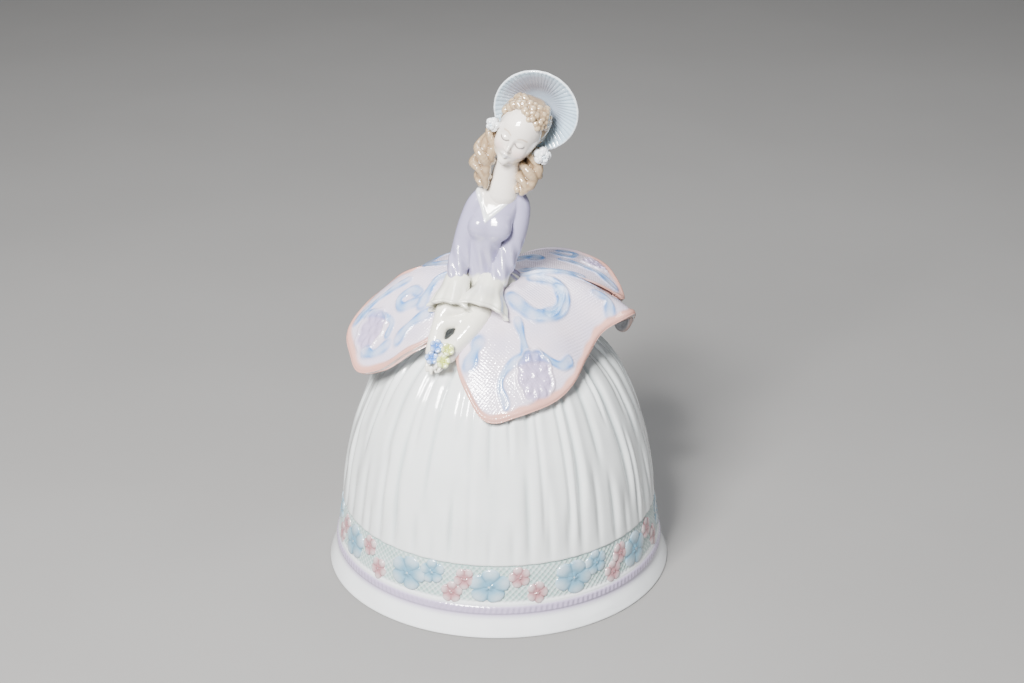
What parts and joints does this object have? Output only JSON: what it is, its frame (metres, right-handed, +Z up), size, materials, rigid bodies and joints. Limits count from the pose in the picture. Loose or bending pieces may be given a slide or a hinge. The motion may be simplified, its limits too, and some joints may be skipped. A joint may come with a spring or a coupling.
{
  "type": "figural hand bell",
  "caption": "Glazed porcelain hand bell shaped as a lady in a bonnet; her wide pleated skirt is the bell, with a lace overskirt, flower band and hanging clapper.",
  "frame": {"origin": "centre of the bell's bottom rim, on the surface it stands on", "axes": "+Z up along the bell's axis, -Y towards the lady's front"},
  "size_m": [0.112, 0.112, 0.1658],
  "materials": {
    "white_glaze": "glossy cool white glaze",
    "lace_glaze": "glossy glaze over pale lilac lace with blue ribbons and a peach edge",
    "bodice_glaze": "glossy lavender grey glaze",
    "cream_glaze": "glossy cream glaze",
    "skin_glaze": "glossy pale skin glaze",
    "hair_glaze": "glossy golden beige glaze",
    "bonnet_glaze": "glossy pale blue glaze",
    "blue_glaze": "glossy cornflower blue glaze",
    "green_glaze": "glossy yellow green glaze",
    "bisque": "unglazed bisque",
    "brass": "drawn brass wire"
  },
  "bodies": {
    "porcelain": {"skirt_shell": "white_glaze", "overskirt_front_right": "lace_glaze", "overskirt_back_right": "lace_glaze", "overskirt_back_left": "lace_glaze", "overskirt_front_left": "lace_glaze", "bodice": "bodice_glaze", "sleeve_right": "bodice_glaze", "sleeve_left": "bodice_glaze", "cuff_right": "cream_glaze", "cuff_left": "cream_glaze", "hand_right": "skin_glaze", "hand_left": "skin_glaze", "posy_blue_upper": "blue_glaze", "posy_blue_lower": "blue_glaze", "posy_green_upper": "green_glaze", "posy_green_lower": "green_glaze", "head": "skin_glaze", "hair": "hair_glaze", "ringlets_right": "hair_glaze", "ringlets_left": "hair_glaze", "rosette_right": "white_glaze", "rosette_left": "white_glaze", "bonnet": "bonnet_glaze", "hanger_bush": "bisque"},
    "swivel": {"swivel_eye": "brass"},
    "clapper": {"clapper_wire": "brass", "clapper_ball": "bisque"}
  },
  "joints": [
    {"name": "hanger_swivel", "type": "hinge", "parent": "porcelain", "child": "swivel", "pos_m": [0, 0, 0.09], "axis": [0, 0, 1], "continuous": true},
    {"name": "clapper_swing", "type": "hinge", "parent": "swivel", "child": "clapper", "pos_m": [0, 0, 0.072], "axis": [1, 0, 0], "range_deg": [-49, 49]}
  ]
}
